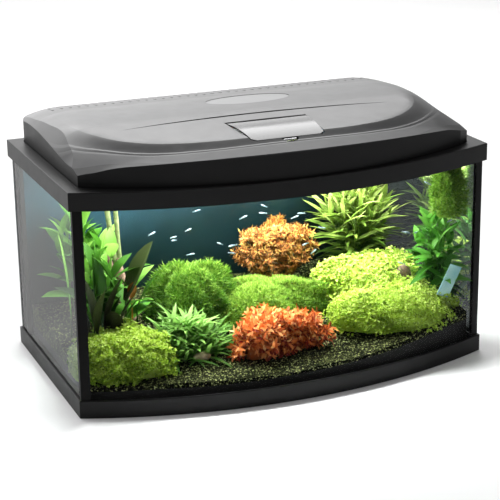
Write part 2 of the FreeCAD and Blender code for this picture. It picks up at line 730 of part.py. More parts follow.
def build_reflector(reach, y0, y1, low, high):
    """Folded sheet over the tube: flat crown between two sloping wings."""
    thick = n("sheet_thick")
    crown = n("sheet_crown")
    mid = n("lamp_y")
    line = [(y0, low), (mid - crown, high), (mid + crown, high), (y1, low)]
    outline = [V(0, y, z) for y, z in line] + [V(0, y, z + thick) for y, z in reversed(line)]
    face = Part.Face(Part.makePolygon(outline + outline[:1]))
    face.translate(V(-reach, 0, 0))
    sheet_shape = face.extrude(V(2 * reach, 0, 0))
    posts = [Part.makeCylinder(2, lamp_z + n("lamp_tall") - n("housing_wall") - high,
                               V(side * reach * 0.55, mid, high)) for side in (-1, 1)]
    solid("reflector", sheet_shape.fuse(posts))


def build_ballast():
    x = n("box_long") / 2
    y0 = n("box_y") - n("box_deep") / 2
    z0 = lamp_z
    z1 = z0 + n("box_tall")
    box = block(-x, x, y0, y0 + n("box_deep"), z0, z1)
    box = box.makeFillet(2, [e for e in box.Edges if abs(e.Vertexes[0].Z - e.Vertexes[1].Z) > 1])
    screws = []
    for bx, by, radius, foot in cover_bosses():
        if foot == z1:
            hole = Part.makeCylinder(n("screw") + 0.1, n("box_tall") + 2, V(bx, by, z0 - 1))
            box = box.cut(hole)
            shank = Part.makeCylinder(n("screw"), n("box_tall"), V(bx, by, z0))
            head = Part.makeCylinder(n("screw_head"), 1.6, V(bx, by, z0 - 1.6))
            screws.append(shank.fuse(head))
    solid("ballast_box", box)
    solid("ballast_screws", Part.makeCompound(screws))


# ---- feeding flap -----------------------------------------------------------

def build_flap():
    """Crowned flap on two pins along its back edge, with a front lip and a catch."""
    y, z = flap_axis()
    y0 = n("flap_front_y")
    front_z = dome_height(0, y0) - 0.6
    rear_z = z + n("flap_knuckle")
    mid = (y + y0) / 2
    crown_z = (front_z + rear_z) / 2 + n("flap_crown") + 1.2
    thick = n("flap_thick")
    points = (V(0, y, rear_z), V(0, mid, crown_z), V(0, y0, front_z))
    upper = Part.Arc(*points).toShape()
    lower = Part.Arc(*[p.sub(V(0, 0, thick)) for p in points]).toShape()
    ends = [Part.makeLine(points[i], points[i].sub(V(0, 0, thick))) for i in (0, 2)]
    face = Part.Face(Part.Wire(Part.__sortEdges__([upper, ends[0], lower, ends[1]])))
    wide = n("flap_back_wide")
    face.translate(V(-wide, 0, 0))
    panel = face.extrude(V(2 * wide, 0, 0))
    lip = block(-wide, wide, y0, y0 + thick, front_z - n("flap_lip"), front_z - thick / 2)
    plan = upright(flap_wire(0), rim, rim + 90)
    shape = panel.fuse(lip).common(plan)
    reach = n("flap_back_wide") / 2 - 1
    shape = shape.fuse(rod_x(-reach, reach, y, z, n("flap_knuckle")))
    bore = n("flap_pin") + n("run_gap")
    shape = shape.cut(rod_x(-reach - 2, -reach + 14, y, z, bore))
    shape = shape.cut(rod_x(reach - 14, reach + 2, y, z, bore))
    solid("feeding_flap", shape.removeSplitter())
    for label, side in (("flap_pin_left", -1), ("flap_pin_right", 1)):
        far = n("flap_back_wide") / 2 + n("flap_gap") + 5
        ends = sorted((side * (reach - 12), side * far))
        solid(label, rod_x(*ends, y, z, n("flap_pin")))
    knob = block(-9, 9, y0 - 4, y0, front_z - 4.4, front_z - 1.4)
    knob = knob.makeFillet(1.2, [e for e in knob.Edges if e.CenterOfMass.y < y0 - 3.9])
    solid("flap_catch", knob)


build_frames()
build_glass()
build_planting(build_bed())
hood_walls = hood_shell()
build_skirt(hood_walls)
build_cover(hood_walls)
build_badge()
build_hinges()
build_light()
build_flap()
doc.recompute()


def is_subpart(item):
    """Only the finished pieces are written: each body, and each feature outside a body."""
    return item.TypeId in ("PartDesign::Body", "Part::Feature")


pieces = [item for item in doc.Objects if is_subpart(item)]
for item in doc.Objects:
    if "Invalid" in item.State or "Error" in item.State:
        raise RuntimeError(f"{item.Label} failed: {item.State}")
for item in pieces:
    if item.Shape.isNull() or not item.Shape.isValid():
        raise RuntimeError(f"{item.Label} has no valid shape")

os.makedirs("parts", exist_ok=True)
for item in pieces:
    item.Shape.exportStep(f"parts/{item.Label}.step")
    print(f"{item.Label:22s} {item.Shape.Volume / 1000:9.2f} cm3  {len(item.Shape.Solids)} solid")
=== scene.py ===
import math
import random

import bmesh
import bpy
from mathutils import Euler, Matrix, Vector


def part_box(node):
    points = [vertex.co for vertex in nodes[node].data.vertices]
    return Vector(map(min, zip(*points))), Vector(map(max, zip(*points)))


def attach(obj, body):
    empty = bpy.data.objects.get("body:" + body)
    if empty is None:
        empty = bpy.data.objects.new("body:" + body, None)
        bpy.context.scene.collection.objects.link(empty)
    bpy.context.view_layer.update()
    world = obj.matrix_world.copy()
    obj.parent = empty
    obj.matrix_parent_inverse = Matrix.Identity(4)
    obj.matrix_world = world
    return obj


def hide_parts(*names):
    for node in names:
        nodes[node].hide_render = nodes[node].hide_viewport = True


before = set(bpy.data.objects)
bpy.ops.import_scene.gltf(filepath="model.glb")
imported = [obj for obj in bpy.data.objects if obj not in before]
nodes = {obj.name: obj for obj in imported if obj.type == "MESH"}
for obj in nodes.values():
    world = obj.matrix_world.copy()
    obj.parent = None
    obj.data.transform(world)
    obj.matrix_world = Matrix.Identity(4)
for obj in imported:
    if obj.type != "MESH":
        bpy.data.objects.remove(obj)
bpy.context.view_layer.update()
MM = 0.001


# ---- places taken from the frame -------------------------------------------

def low(node):
    return Vector(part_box(node)[0])


def high(node):
    return Vector(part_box(node)[1])


def middle(node):
    return (low(node) + high(node)) / 2


HALF = high("top_frame").x
RIM = high("front_glass").z + 5.3 * MM
INSIDE = low("right_glass").x - 0.4 * MM
GOLDEN = 2.39996
FULL_TURN = 6.28

# The hood's raised plateau: half its width, where its bow starts, how far it reaches ahead.
PLATEAU_HALF = 285 * MM
PLATEAU_START = 60 * MM
PLATEAU_AHEAD = 202 * MM
PLATEAU_POWER = 2.5

# The row of vent slots: spacing, number, and how far the middle 500 mm of the dark sheet under them
# spreads; that sheet is painted shade inside the slots.
SLOT_PITCH = 12.5 * MM
SLOT_COUNT = 40
SHADE_SHEET_WIDE = 500 * MM

# Large leaves placed one by one: root, tip, width and curl, in millimetres.
LEFT_BLADES = [
    ((-240, 20, 70), (-247, 16, 205), 15, 0.06), ((-236, 12, 70), (-217, 4, 212), 13, 0.05),
    ((-226, 0, 70), (-231, -6, 196), 20, 0.08), ((-214, 10, 65), (-210, 2, 180), 16, 0.05),
    ((-236, -2, 182), (-205, -16, 124), 24, 0.05), ((-244, -40, 70), (-264, -46, 124), 19, 0.15),
    ((-230, -34, 66), (-212, -40, 130), 19, 0.15), ((-180, -14, 100), (-150, -22, 152), 20, 0.1),
    ((-262, 30, 80), (-270, 40, 210), 15, 0.05), ((-205, -22, 70), (-186, -30, 118), 16, 0.2),
]
DARK_LEAVES = [
    ((-250, -42, 88), (-262, -54, 168), 27, 0.08), ((-247, -50, 86), (-239, -60, 150), 29, 0.08),
    ((-232, -36, 82), (-209, -46, 162), 30, 0.08), ((-196, -14, 112), (-158, -24, 196), 36, 0.08),
    ((-221, -38, 70), (-228, -58, 118), 26, 0.15), ((-262, -40, 80), (-276, -56, 140), 24, 0.1),
    ((-214, -30, 76), (-196, -44, 128), 24, 0.12),
]
ORANGE_LEAF = [((-187, -14, 114), (-185, -18, 140), 13, 0.05)]
# Middles of the fish, in millimetres.
FISH = [
    (-76, 20, 217), (-136, 40, 186), (-75, 60, 178), (-109, 30, 175), (-87, 90, 160),
    (-25, 70, 148), (-17, 40, 152), (-9, 60, 134), (-65, 80, 134), (-116, 70, 121),
    (-90, 50, 126), (-101, 40, 120), (10, 60, 186), (47, 80, 182), (53, 90, 190),
    (238, -70, 242), (255, -95, 213), (91, 60, 176), (108, 80, 174), (130, 50, 157),
    (240, -40, 161), (232, -20, 156), (258, -100, 193), (107, 30, 130), (97, 40, 139),
    (223, -20, 111),
]


# ---- material helpers -------------------------------------------------------

def material(name):
    """An empty node material with its output: (material, tree)."""
    made = bpy.data.materials.new(name)
    made.use_nodes = True
    tree = made.node_tree
    tree.nodes.clear()
    return made, tree


def put(tree, kind, **values):
    """A node with its sockets or properties set by name."""
    node = tree.nodes.new(kind)
    for key, value in values.items():
        title = key.replace("_", " ")
        if title in node.inputs:
            node.inputs[title].default_value = value
        else:
            setattr(node, key, value)
    return node


def link(tree, source, target):
    tree.links.new(source, target)


def feed(tree, value, socket):
    """Gives a socket a number, or links another socket to it."""
    if isinstance(value, (int, float)):
        socket.default_value = value
    else:
        link(tree, value, socket)


def place(tree):
    return put(tree, "ShaderNodeTexCoord").outputs["Object"]


def place_parts(tree):
    """The place split into X, Y and Z."""
    parts = put(tree, "ShaderNodeSeparateXYZ")
    link(tree, place(tree), parts.inputs[0])
    return parts.outputs


def noise(tree, scale, detail=3.0):
    node = put(tree, "ShaderNodeTexNoise", Scale=scale, Detail=detail, Roughness=0.55)
    link(tree, place(tree), node.inputs["Vector"])
    return node.outputs["Fac"]


def cells(tree, scale, output="Color"):
    node = put(tree, "ShaderNodeTexVoronoi", Scale=scale)
    link(tree, place(tree), node.inputs["Vector"])
    return node.outputs[output]


def ramp(tree, factor, *stops):
    """Colour ramp through (place, (r, g, b)) stops."""
    node = put(tree, "ShaderNodeValToRGB")
    band = node.color_ramp.elements
    while len(band) < len(stops):
        band.new(0.5)
    for element, (where, colour) in zip(band, stops):
        element.position = where
        element.color = (*colour, 1)
    link(tree, factor, node.inputs["Fac"])
    return node.outputs["Color"]


def span(tree, factor, start, end, first, last):
    """Maps a value from one range to another."""
    node = put(tree, "ShaderNodeMapRange")
    for title, value in (("From Min", start), ("From Max", end), ("To Min", first),
                         ("To Max", last)):
        node.inputs[title].default_value = value
    link(tree, factor, node.inputs["Value"])
    return node.outputs["Result"]


def bump(tree, height, strength, distance):
    node = put(tree, "ShaderNodeBump", Strength=strength, Distance=distance)
    link(tree, height, node.inputs["Height"])
    return node.outputs["Normal"]


def calc(tree, operation, first, second=0.0):
    """One math node; each input is a socket or a number."""
    node = put(tree, "ShaderNodeMath", operation=operation)
    feed(tree, first, node.inputs[0])
    feed(tree, second, node.inputs[1])
    return node.outputs[0]


def blend(tree, share, first, second):
    """Two shaders mixed by a share, which is a socket or a number."""
    node = put(tree, "ShaderNodeMixShader")
    for socket, value in zip(node.inputs, (share, first, second)):
        feed(tree, value, socket)
    return node.outputs[0]


def surface(tree, shader):
    out = put(tree, "ShaderNodeOutputMaterial")
    link(tree, shader, out.inputs["Surface"])


# ---- mesh helpers -----------------------------------------------------------

def as_mesh(bm, name, finish=None):
    """Turns a bmesh into a mesh and frees it."""
    mesh = bpy.data.meshes.new(name)
    bm.to_mesh(mesh)
    bm.free()
    if finish:
        mesh.materials.append(finish)
    return mesh


def show(name, mesh):
    item = bpy.data.objects.new(name, mesh)
    bpy.context.scene.collection.objects.link(item)
    return item


# ---- finishes ---------------------------------------------------------------

def plateau_reach(tree):
    """How far out a point of the hood lies: 1 is the plateau's foot."""
    where = place_parts(tree)
    across = calc(tree, "DIVIDE", calc(tree, "ABSOLUTE", where["X"]), PLATEAU_HALF)
    ahead = calc(tree, "MAXIMUM", calc(tree, "SUBTRACT", PLATEAU_START, where["Y"]), 0)
    along = calc(tree, "DIVIDE", ahead, PLATEAU_AHEAD)
    total = calc(tree, "ADD", calc(tree, "POWER", across, PLATEAU_POWER),
                 calc(tree, "POWER", along, PLATEAU_POWER))
    return calc(tree, "POWER", total, 1 / PLATEAU_POWER)


def plateau_relief(tree):
    """Height of the hood's raised plateau: a ramp round its bowed front, with a fine foot line."""
    reach = plateau_reach(tree)
    fade = span(tree, place_parts(tree)["Y"], 110 * MM, 0.0, 0, 1)
    ramp_up = span(tree, reach, 0.98, 0.89, 0, 3.6 * MM)
    lip = span(tree, reach, 1.010, 0.992, 0, 0.9 * MM)
    return calc(tree, "MULTIPLY", fade, calc(tree, "ADD", ramp_up, lip))


def moulded_plastic(name, dark, light, gloss, grain, grain_depth, shine=0.5, raised=False):
    """Injection-moulded plastic: faint colour drift, fine grain, slightly uneven gloss.

    A raised one has the hood's plateau, and is duller outside it."""
    made, tree = material(name)
    shader = put(tree, "ShaderNodeBsdfPrincipled")
    shader.inputs["Specular IOR Level"].default_value = shine
    link(tree, ramp(tree, noise(tree, 9), (0.3, dark), (0.7, light)), shader.inputs["Base Color"])
    link(tree, span(tree, noise(tree, 40), 0.3, 0.7, gloss - 0.015, gloss + 0.02),
         shader.inputs["Roughness"])
    fine = put(tree, "ShaderNodeBump", Strength=0.25, Distance=grain_depth)
    link(tree, noise(tree, grain, 2), fine.inputs["Height"])
    if raised:
        link(tree, bump(tree, plateau_relief(tree), 1.0, 1.0), fine.inputs["Normal"])
        outer_shine = span(tree, plateau_reach(tree), 0.99, 1.03, shine, shine * 0.22)
        link(tree, outer_shine, shader.inputs["Specular IOR Level"])
    link(tree, fine.outputs["Normal"], shader.inputs["Normal"])
    surface(tree, shader.outputs[0])
    return made


def clear_glass(name, tint, mirror, bonded=None, inner_mirror=0.0):
    """A clear pane that mirrors at low angles, as its mirror index says.

    bonded = (axis, from, to) keeps that stretch clear and blackens the sealed edges beyond it.
    With water behind it, a side pane seen at a low angle from inside mirrors the tank."""
    made, tree = material(name)
    drift = ramp(tree, noise(tree, 3), (0.2, tint), (0.8, tuple(min(1, c * 1.02) for c in tint)))
    through = put(tree, "ShaderNodeBsdfTransparent")
    link(tree, drift, through.inputs["Color"])
    shine = put(tree, "ShaderNodeBsdfGlossy", Color=(1, 1, 1, 1), Roughness=0.02)
    edge = put(tree, "ShaderNodeFresnel", IOR=mirror)
    face = put(tree, "ShaderNodeNewGeometry")
    outer = calc(tree, "SUBTRACT", 1, face.outputs["Backfacing"])
    share = calc(tree, "MULTIPLY", edge.outputs[0], outer)
    where = place_parts(tree)
    shader = blend(tree, share, through.outputs[0], shine.outputs[0])
    if inner_mirror:
        normal = put(tree, "ShaderNodeSeparateXYZ")
        link(tree, face.outputs["True Normal"], normal.inputs[0])
        inward = calc(tree, "LESS_THAN", calc(tree, "MULTIPLY", normal.outputs["X"], where["X"]), -0.1)
        tilt = put(tree, "ShaderNodeLayerWeight", Blend=0.5)
        slant = span(tree, tilt.outputs["Facing"], 0.30, 0.42, 0, inner_mirror)
        inside = calc(tree, "MULTIPLY", inward, slant)
        deep = put(tree, "ShaderNodeBsdfGlossy", Color=(0.80, 0.88, 0.88, 1), Roughness=0.03)
        shader = blend(tree, calc(tree, "MULTIPLY", inside, outer), shader, deep.outputs[0])
    if bonded:
        axis, start, end = bonded
        outside = calc(tree, "MAXIMUM", calc(tree, "LESS_THAN", where[axis], start),
                       calc(tree, "GREATER_THAN", where[axis], end))
        seal = put(tree, "ShaderNodeBsdfPrincipled", Roughness=0.4)
        seal.inputs["Specular IOR Level"].default_value = 0.05
        seal.inputs["Base Color"].default_value = (0.006, 0.006, 0.006, 1)
        shader = blend(tree, outside, shader, seal.outputs[0])
    surface(tree, shader)
    return made


def black_silicone():
    """Slightly wavy bead of black sealant."""
    made, tree = material("black_silicone")
    shader = put(tree, "ShaderNodeBsdfPrincipled", Roughness=0.35)
    link(tree, ramp(tree, noise(tree, 60), (0.3, (0.006, 0.006, 0.006)), (0.7, (0.014, 0.014, 0.014))),
         shader.inputs["Base Color"])
    link(tree, bump(tree, noise(tree, 90), 0.2, 0.0004), shader.inputs["Normal"])
    surface(tree, shader.outputs[0])
    return made


def deep_film():
    """Background film: deep blue-green, paler towards the top left, seen through water."""
    made, tree = material("background_film")
    shader = put(tree, "ShaderNodeBsdfPrincipled", Roughness=0.6)
    where = place_parts(tree)
    upward = span(tree, where["Z"], 0.08, 0.28, 0, 1)
    across = span(tree, where["X"], -0.3, 0.3, 0.5, -0.25)
    cloud = span(tree, noise(tree, 7, 5), 0.3, 0.7, -0.16, 0.16)
    total = calc(tree, "ADD", calc(tree, "ADD", upward, across), cloud)
    colour = ramp(tree, total, (0.1, (0.0015, 0.005, 0.004)), (0.55, (0.004, 0.016, 0.018)),
                  (1.0, (0.018, 0.055, 0.075)))
    link(tree, colour, shader.inputs["Base Color"])
    surface(tree, shader.outputs[0])
    return made


def planting_soil():
    """Near-black planting soil under the gravel."""
    made, tree = material("planting_soil")
    shader = put(tree, "ShaderNodeBsdfPrincipled", Roughness=0.85)
    crumb = 420
    link(tree, ramp(tree, cells(tree, crumb), (0.2, (0.001, 0.001, 0.001)), (0.9, (0.004, 0.004, 0.0035))),
         shader.inputs["Base Color"])
    link(tree, bump(tree, cells(tree, crumb, "Distance"), 0.5, 0.6 * MM), shader.inputs["Normal"])
    surface(tree, shader.outputs[0])
    return made


def dark_gravel():
    """Fine dark gravel with paler olive grains."""
    made, tree = material("dark_gravel")
    grit = 620
    shader = put(tree, "ShaderNodeBsdfPrincipled", Roughness=0.8)
    shader.inputs["Specular IOR Level"].default_value = 0.08
    grain = ramp(tree, cells(tree, grit), (0.3, (0.0006, 0.0008, 0.0004)), (0.6, (0.003, 0.004, 0.0016)),
                 (0.74, (0.04, 0.048, 0.014)), (0.95, (0.40, 0.44, 0.17)))
    link(tree, grain, shader.inputs["Base Color"])
    link(tree, bump(tree, cells(tree, grit, "Distance"), 0.7, 0.7 * MM), shader.inputs["Normal"])
    surface(tree, shader.outputs[0])
    return made


def leaf(name, deep, mid, bright, base_z, top_z, spread=0.24):
    """Leaves: each its own tone, with painted shade that makes them darker low in the clump, and lit from
    behind.
    """
    made, tree = material(name)
    geometry = put(tree, "ShaderNodeNewGeometry")
    # Painted shade: the colour darkens towards the foot of the clump, where shade would fall.
    rise = span(tree, place_parts(tree)["Z"], base_z, top_z, 0.0, 0.62)
    own = span(tree, geometry.outputs["Random Per Island"], 0, 1, -spread, spread + 0.14)
    colour = ramp(tree, calc(tree, "ADD", rise, own), (0.0, deep), (0.45, mid), (0.95, bright))
    shader = put(tree, "ShaderNodeBsdfPrincipled", Roughness=0.45)
    shader.inputs["Specular IOR Level"].default_value = 0.35
    link(tree, colour, shader.inputs["Base Color"])
    link(tree, bump(tree, noise(tree, 260, 2), 0.3, 0.0006), shader.inputs["Normal"])
    glow = put(tree, "ShaderNodeBsdfTranslucent")
    link(tree, colour, glow.inputs["Color"])
    surface(tree, blend(tree, 0.35, shader.outputs[0], glow.outputs[0]))
    return made


def rough_stone(name, dark, light):
    """Uneven stone, bark or stalk between two tones."""
    made, tree = material(name)
    shader = put(tree, "ShaderNodeBsdfPrincipled", Roughness=0.85)
    link(tree, ramp(tree, noise(tree, 110, 6), (0.3, dark), (0.7, light)), shader.inputs["Base Color"])
    link(tree, bump(tree, noise(tree, 160, 6), 0.8, 0.002), shader.inputs["Normal"])
    surface(tree, shader.outputs[0])
    return made


def metal(name, colour, roughness):
    """Bare metal with a little wear in its colour and gloss."""
    made, tree = material(name)
    shader = put(tree, "ShaderNodeBsdfPrincipled", Metallic=1.0)
    link(tree, ramp(tree, noise(tree, 120), (0.2, tuple(c * 0.85 for c in colour)), (0.8, colour)),
         shader.inputs["Base Color"])
    link(tree, span(tree, noise(tree, 300), 0.3, 0.7, roughness - 0.05, roughness + 0.08),
         shader.inputs["Roughness"])
    surface(tree, shader.outputs[0])
    return made


def lit_tube():
    """Frosted fluorescent tube, switched on."""
    made, tree = material("lit_tube")
    shader = put(tree, "ShaderNodeBsdfPrincipled", Roughness=0.4)
    shader.inputs["Emission Strength"].default_value = 2.5
    white = ramp(tree, noise(tree, 20), (0.2, (0.95, 0.97, 1.0)), (0.8, (1.0, 1.0, 1.0)))
    link(tree, white, shader.inputs["Base Color"])
    link(tree, white, shader.inputs["Emission Color"])
    surface(tree, shader.outputs[0])
    return made


def fish_skin():
    """Silver flanks with a pale blue back, and a faint painted glow in the same colour."""
    made, tree = material("fish_skin")
    shader = put(tree, "ShaderNodeBsdfPrincipled", Roughness=0.3)
    # Painted light: a faint glow in the skin's own colour, though a fish is no lamp.
    shader.inputs["Emission Strength"].default_value = 0.03
    tone = ramp(tree, noise(tree, 160), (0.3, (0.10, 0.16, 0.20)), (0.7, (0.42, 0.52, 0.58)))
    link(tree, tone, shader.inputs["Base Color"])
    link(tree, tone, shader.inputs["Emission Color"])
    surface(tree, shader.outputs[0])
    return made


def dress(made, *names):
    """Gives CAD nodes a finish."""
    for name in names:
        data = nodes[name].data
        data.materials.clear()
        data.materials.append(made)


def dress_frame():
    dress(moulded_plastic("frame_plastic", (0.008, 0.008, 0.008), (0.011, 0.011, 0.0115),
                          0.42, 900, 0.00003, 0.14),
          "top_frame", "bottom_frame", "hood_skirt", "ballast_box", "cable_gland",
          "hood_bracket_left", "hood_bracket_right")
    dress(moulded_plastic("hood_plastic", (0.030, 0.030, 0.031), (0.034, 0.034, 0.035),
                          0.34, 1400, 0.00005, 0.43, raised=True), "hood_cover")
    dress(moulded_plastic("flap_plastic", (0.03, 0.03, 0.031), (0.036, 0.036, 0.037),
                          0.16, 900, 0.00003), "feeding_flap")
    dress(moulded_plastic("badge_plastic", (0.16, 0.16, 0.165), (0.19, 0.19, 0.195),
                          0.3, 900, 0.00003), "badge_plate")
    dress(moulded_plastic("white_plastic", (0.7, 0.7, 0.7), (0.8, 0.8, 0.8), 0.35, 600, 0.00005),
          "lamp_housing", "socket_left", "socket_right")
    seal = HALF - 17 * MM
    dress(clear_glass("front_pane", (0.97, 0.98, 0.98), 1.08, ("X", -seal, seal)), "front_glass")
    dress(clear_glass("inner_pane", (0.97, 0.98, 0.98), 1.1), "back_glass", "bottom_glass")
    dress(clear_glass("side_pane", (0.94, 0.97, 0.97), 1.16,
                      ("Y", low("left_glass").y + 3 * MM, high("left_glass").y - 6 * MM), 0.95),
          "left_glass", "right_glass")
    dress(clear_glass("lens_plastic", (0.96, 0.96, 0.96), 1.3), "lamp_lens")
    dress(black_silicone(), "bead_front_left", "bead_front_right", "bead_back_left",
          "bead_back_right")
    dress(deep_film(), "back_film")
    dress(planting_soil(), "planting_layer")
    dress(dark_gravel(), "gravel")
    dress(metal("steel", (0.6, 0.6, 0.6), 0.3), "hood_pin_left", "hood_pin_right",
          "flap_pin_left", "flap_pin_right", "lamp_screws", "ballast_screws")
    dress(metal("bright_catch", (0.8, 0.8, 0.82), 0.15), "flap_catch")
    dress(metal("reflector_sheet", (0.9, 0.9, 0.91), 0.12), "reflector")
    dress(lit_tube(), "lamp_tube")


# ---- plants -----------------------------------------------------------------

def leaf_mesh(name, length, width, curl, across=2, along=3, fold=0.25, tip=1.0):
    """One leaf from its stalk at the origin along +Y, folded along its rib and curling down."""
    bm = bmesh.new()
    bmesh.ops.create_grid(bm, x_segments=across, y_segments=along, size=0.5)
    for vert in bm.verts:
        far = vert.co.y + 0.5
        side = vert.co.x * 2
        swell = math.sin(math.pi * min(1, far ** tip * 0.94 + 0.06)) ** 0.8
        half = side * width / 2 * swell
        vert.co = (half, far * length, abs(half) * fold - curl * length * far ** 2)
    return as_mesh(bm, name)


def stem_mesh(height, radius):
    """A thin tapering stalk that stands on the origin."""
    bm = bmesh.new()
    bmesh.ops.create_cone(bm, segments=5, radius1=radius, radius2=radius * 0.6, depth=height,
                          cap_ends=False, matrix=Matrix.Translation((0, 0, height / 2)))
    return as_mesh(bm, "stalk")


class Bunch:
    """Many copies of small shapes gathered into one piece."""

    def __init__(self):
        self.whole = bmesh.new()
        self.buffer = bpy.data.meshes.new("buffer")

    def add(self, mesh, matrix):
        one = bmesh.new()
        one.from_mesh(mesh)
        one.transform(matrix)
        one.to_mesh(self.buffer)
        one.free()
        self.whole.from_mesh(self.buffer)

    def mesh(self, name):
        """The gathered mesh, with nothing past the side panes."""
        for vert in self.whole.verts:
            vert.co.x = max(-INSIDE, min(INSIDE, vert.co.x))
        bpy.data.meshes.remove(self.buffer)
        return as_mesh(self.whole, name)

    def piece(self, name, finish, *replaced):
        made = self.mesh(name)
        made.materials.append(finish)
        made.shade_smooth()
        return tank_piece(name, made, *replaced)


def tank_piece(name, mesh, *replaced):
    """Puts a mesh in the scene as a piece of the tank."""
    item = show(name, mesh)
    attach(item, "tank")
    if replaced:
        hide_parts(*replaced)
    return item


def aim(direction, spin):
    """Rotation that points +Z along direction, turned by spin about it."""
    return direction.to_track_quat("Z", "Y").to_matrix().to_4x4() @ Matrix.Rotation(spin, 4, "Z")


def at(point, direction, spin=0.0, size=1.0):
    """Places a shape at a point, along a direction."""
    return Matrix.Translation(point) @ aim(direction, spin) @ Matrix.Scale(size, 4)


def laid(spin, pitch):
    """A leaf turned about its stalk and raised from the level by pitch."""
    return Matrix.Rotation(spin, 4, "Z") @ Matrix.Rotation(pitch, 4, "X")


def wander(rng, amount):
    """A small random shift."""
    return Vector([rng.uniform(-amount, amount) for _ in range(3)])


class Clump:
    """The space a CAD clump takes, and points spread over a lumpy cushion inside it."""

    def __init__(self, node, seed, grow=(1, 1, 1), shift=(0, 0), square=2.0, lump=0.1, neck=1.0):
        self.seed = seed
        self.square = square
        self.lump = lump
        self.neck = neck
        self.centre = middle(node) + Vector((*shift, 0)) * MM
        self.base = low(node).z
        size = (high(node) - low(node)) / 2
        self.size = Vector((size.x * grow[0], size.y * grow[1], 2 * size.z * grow[2]))

    def spot(self, up, turn, depth=1.0):
        """Point and outward direction at a height share and a bearing."""
        ring = (1 - up ** self.square) ** (1 / self.square)
        wave = ring * (math.sin(3 * turn + self.seed) + 0.7 * math.sin(5 * turn + 2 * self.seed + 4 * up)
                       + 0.6 * math.sin(9 * turn - self.seed + 9 * up))
        reach = depth * (1 - self.lump * (1 + wave) / 2)
        ring *= self.neck + (1 - self.neck) * min(1, up / 0.45)
        point = Vector((self.centre.x + self.size.x * ring * math.cos(turn) * reach,
                        self.centre.y + self.size.y * ring * math.sin(turn) * reach,
                        self.base + self.size.z * up * reach))
        out = Vector((ring * math.cos(turn) / self.size.x, ring * math.sin(turn) / self.size.y,
                      max(0.05, up) / self.size.z)).normalized()
        return point, out

    def spots(self, count, inside, floor=0.02):
        """Points all over the cushion: a third spread by height, the rest evenly in plan."""
        rng = random.Random(self.seed)
        for index in range(count):
            share = (index + 0.5) / count
            up = floor + (0.985 - floor) * share
            if index % 3:
                up = max(floor, (1 - share ** (self.square / 2)) ** (1 / self.square))
            turn = index * GOLDEN + rng.uniform(-0.5, 0.5)
            point, out = self.spot(up, turn, 1 - inside * rng.random() ** 2)
            yield rng, point, out

    def core(self, bunch, share):
        """Closed cushion inside the leaves, so that no light shows through the clump."""
        bm = bmesh.new()
        bmesh.ops.create_icosphere(bm, subdivisions=3, radius=1)
        for vert in bm.verts:
            turn = math.atan2(vert.co.y, vert.co.x)
            point = self.spot(min(0.99, abs(vert.co.z)), turn, share)[0]
            under = vert.co.z < 0
            vert.co = (point.x, point.y, self.base + (0 if under else point.z - self.base))
        bunch.add(as_mesh(bm, "core"), Matrix.Identity(4))


def sprig(name, blade, leaves, pitch, stalk=0.0, climb=0.0):
    """Leaves round a short stalk: a rosette, or a shoot when they climb it."""
    bunch = Bunch()
    rng = random.Random(name)
    for index in range(leaves):
        lift = climb * index / leaves
        lean = pitch + 0.5 * index / leaves + rng.uniform(-0.25, 0.25)
        bunch.add(blade, Matrix.Translation((0, 0, lift)) @ laid(index * GOLDEN, lean)
                  @ Matrix.Scale(rng.uniform(0.7, 1.1), 4))
    if stalk:
        bunch.add(stem_mesh(stalk + climb, 0.7 * MM), Matrix.Translation((0, 0, -stalk)))
    return bunch.mesh(name)


def carpet(node, name, finish, count, seed, grow, shift):
    """Low cushion of tiny round leaves."""
    bunch = Bunch()
    clump = Clump(node, seed, grow, shift, square=3.0, lump=0.17)
    clump.core(bunch, 0.9)
    tuft = sprig(name + "_tuft", leaf_mesh("round", 4.2 * MM, 3.4 * MM, 0.2, 2, 2), 5, 0.6)
    for rng, point, out in clump.spots(count, inside=0.08):
        lean = out + Vector((0, 0, 0.5)) + wander(rng, 0.55)
        loose = point + wander(rng, 2.5 * MM) + out * rng.random() ** 8 * 7 * MM
        bunch.add(tuft, at(loose, lean, rng.uniform(0, FULL_TURN), rng.uniform(0.6, 1.25)))
    return bunch.piece(name, finish, node)


def moss(node, name, finish, count, seed, strand, grow=(1, 1, 1), shift=(0, 0)):
    """Mound of fine feathery strands."""
    bunch = Bunch()
    clump = Clump(node, seed, grow, shift, square=2.1, lump=0.25)
    clump.core(bunch, 0.9)
    wisp = sprig(name + "_wisp", leaf_mesh("wisp", strand, 1.1 * MM, 0.25, 1, 3), 7, 0.9)
    for rng, point, out in clump.spots(count, inside=0.06):
        lean = out + Vector((0, 0, 0.25)) + wander(rng, 0.4)
        bunch.add(wisp, at(point, lean, rng.uniform(0, FULL_TURN), rng.uniform(0.55, 1.2)))
    return bunch.piece(name, finish, node)


def bush(node, name, finish, count, seed, blade, leaves, climb, grow, shift=(0, 0), floor=0.1,
         neck=1.0):
    """Bush of upright shoots on a lumpy dome."""
    bunch = Bunch()
    clump = Clump(node, seed, grow, shift, square=2.9, lump=0.42, neck=neck)
    clump.core(bunch, 0.66)
    crown = clump.base + 0.64 * clump.size.z
    shoots = [sprig(f"{name}_shoot{k}", blade, leaves, 0.35, 12 * MM, climb) for k in range(4)]
    for rng, point, out in clump.spots(count, inside=0.25, floor=floor):
        point.z = min(point.z, crown + 0.25 * (point.z - crown))
        lean = out + Vector((0, 0, 0.3)) + wander(rng, 0.4)
        bunch.add(shoots[rng.randrange(4)],
                  at(point - lean.normalized() * climb * 0.8, lean, rng.uniform(0, FULL_TURN),
                     rng.uniform(0.65, 1.2)))
    return bunch.piece(name, finish, node)


